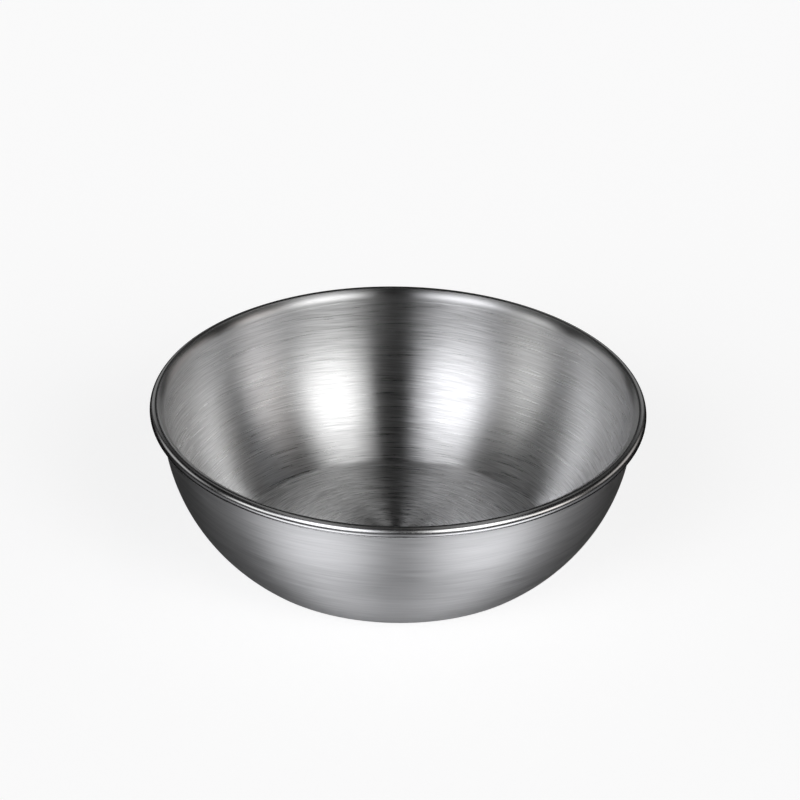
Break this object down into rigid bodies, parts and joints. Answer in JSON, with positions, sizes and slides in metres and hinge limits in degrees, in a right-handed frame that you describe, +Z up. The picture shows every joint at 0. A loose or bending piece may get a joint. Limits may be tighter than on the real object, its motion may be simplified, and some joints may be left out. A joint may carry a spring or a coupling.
{
  "type": "sauce dipping bowl",
  "caption": "Small round stainless steel bowl for dipping sauce, with a flat floor, a bellied wall and a lip rolled outwards into a hollow bead.",
  "frame": {"origin": "centre of the flat base, on the surface that the bowl stands on", "axes": "+Z up along the bowl's axis of revolution and out of its mouth; X and Y are two square directions across the round bowl"},
  "size_m": [0.08, 0.08, 0.0255],
  "materials": {
    "stainless_steel": "brushed in rings about the axis on the inside, satin on the outside, polished on the rolled rim"
  },
  "bodies": {
    "root": {"bowl": "stainless_steel"}
  },
  "joints": []
}
